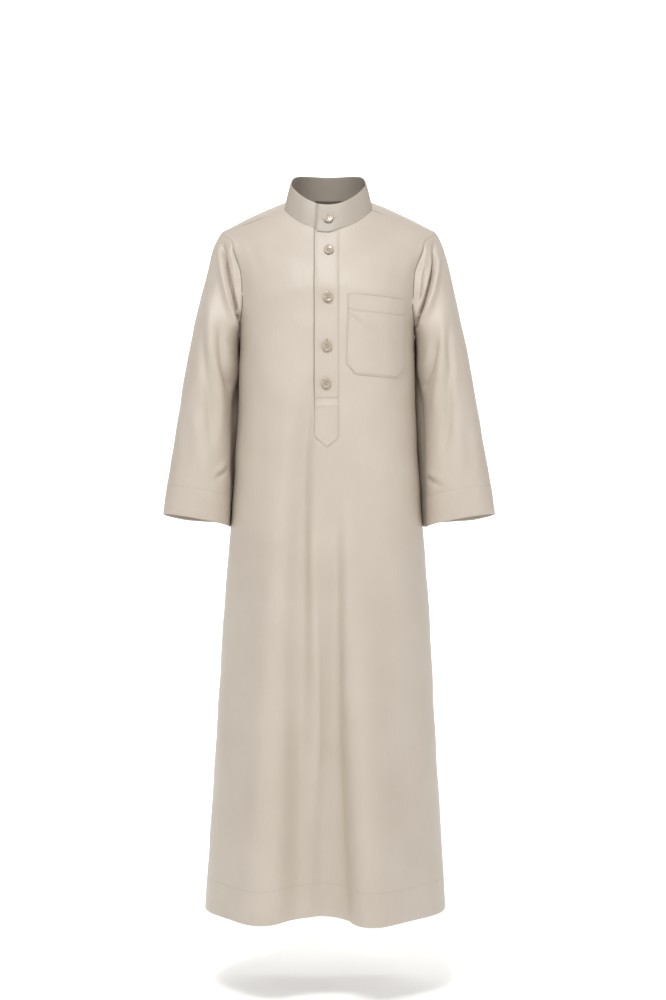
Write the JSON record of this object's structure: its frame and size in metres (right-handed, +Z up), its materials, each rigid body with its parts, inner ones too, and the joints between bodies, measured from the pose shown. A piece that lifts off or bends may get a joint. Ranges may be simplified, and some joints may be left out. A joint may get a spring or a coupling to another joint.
{
  "type": "thobe robe",
  "caption": "Child's ankle-length thobe robe, hollow as worn, with a stand collar, a buttoned placket, a chest pocket, straight sleeves and an open hem.",
  "frame": {"origin": "inside the neck, on the middle line, level with the points where the shoulders meet the collar", "axes": "+Z up; the front of the robe faces -Y; the wearer's left is +X"},
  "size_m": [0.4695, 0.3441, 1.0418],
  "materials": {
    "cloth": "plain beige poly-cotton twill with a soft sheen",
    "button": "beige resin, semi-gloss, with a raised rim"
  },
  "bodies": {
    "root": {"front_panel": "cloth", "back_panel": "cloth", "sleeve_left": "cloth", "sleeve_right": "cloth", "collar": "cloth", "placket": "cloth", "placket_under": "cloth", "pocket": "cloth", "button_collar": "button", "button_1": "button", "button_2": "button", "button_3": "button", "button_4": "button"}
  },
  "joints": []
}
